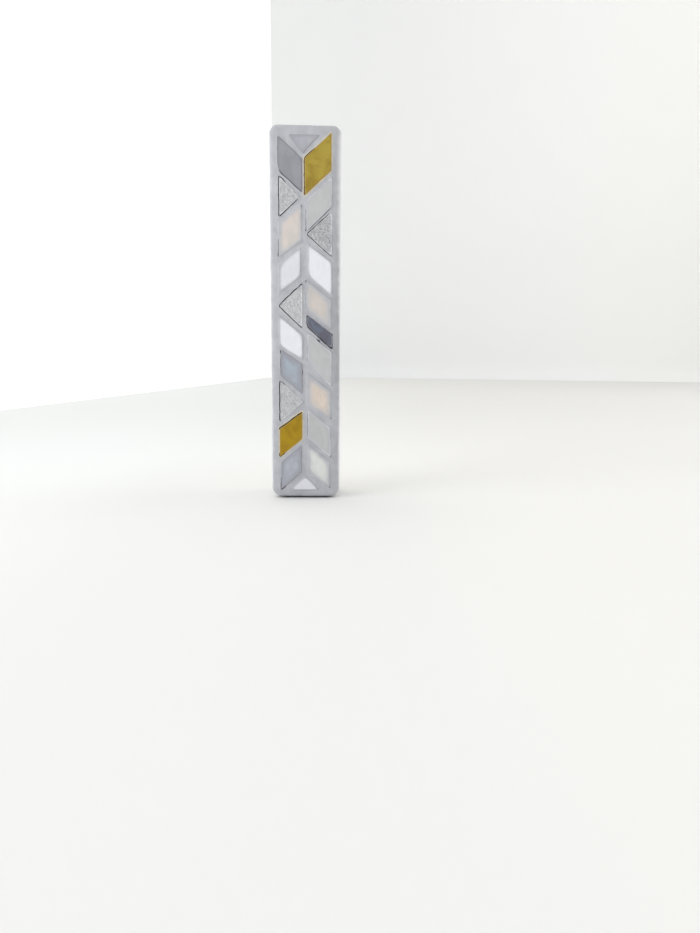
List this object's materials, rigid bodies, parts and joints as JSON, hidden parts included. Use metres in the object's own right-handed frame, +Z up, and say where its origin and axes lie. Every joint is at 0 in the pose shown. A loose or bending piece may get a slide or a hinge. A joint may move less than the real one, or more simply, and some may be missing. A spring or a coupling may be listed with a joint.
{
  "type": "mezuzah case",
  "caption": "Tall slim mezuzah case faced with a chevron mosaic of cut glass in grey grout, on a wooden body that slides over a dovetailed wall plate and holds a rolled parchment.",
  "frame": {"origin": "centre of the rectangular footprint, at the bottom of the case", "axes": "+Z up along the case, -Y out of the glass face, +Y towards the wall, +X to the right as seen from the front"},
  "size_m": [0.0232, 0.017, 0.121],
  "materials": {
    "painted_wood": "satin white paint over birch, slightly worn",
    "maple": "bare, fine sanded",
    "grout": "fine unsanded grout, matt, light grey",
    "adhesive": "cured white mosaic glue",
    "parchment": "blank scraped parchment, matt",
    "clear_film": "clear film",
    "glass_smoke": "smoky opal glass, glossy, speckled",
    "glass_ripple": "clear hammered glass",
    "glass_peach": "warm white opal glass, glossy",
    "glass_white": "white opal glass, glossy",
    "glass_slate": "blue grey opal glass, glossy",
    "glass_gold": "gold backed glass",
    "glass_sage": "pale green grey opal glass",
    "glass_charcoal": "dark blue grey glass",
    "glass_cream": "cream opal glass",
    "glass_mist": "pale blue grey opal glass",
    "glass_pearl": "off-white opal glass"
  },
  "bodies": {
    "wall_plate": {"back_plate": "maple"},
    "case": {"case_body": "painted_wood", "tile_adhesive": "adhesive", "grout": "grout", "parchment_scroll": "parchment", "scroll_sleeve": "clear_film", "glass_left_01_smoke": "glass_smoke", "glass_left_02_ripple": "glass_ripple", "glass_left_03_peach": "glass_peach", "glass_left_04_white": "glass_white", "glass_left_05_ripple": "glass_ripple", "glass_left_06_white": "glass_white", "glass_left_07_slate": "glass_slate", "glass_left_08_ripple": "glass_ripple", "glass_left_09_gold": "glass_gold", "glass_left_10_slate": "glass_slate", "glass_right_01_gold": "glass_gold", "glass_right_02_sage": "glass_sage", "glass_right_03_ripple": "glass_ripple", "glass_right_04_white": "glass_white", "glass_right_05_peach": "glass_peach", "glass_right_06_charcoal": "glass_charcoal", "glass_right_07_sage": "glass_sage", "glass_right_08_peach": "glass_peach", "glass_right_09_sage": "glass_sage", "glass_right_10_cream": "glass_cream", "glass_top_mist": "glass_mist", "glass_bottom_pearl": "glass_pearl"}
  },
  "joints": [
    {"name": "case_lift", "type": "slide", "parent": "wall_plate", "child": "case", "axis": [0, 0, 1], "range_m": [0, 0.116]}
  ]
}
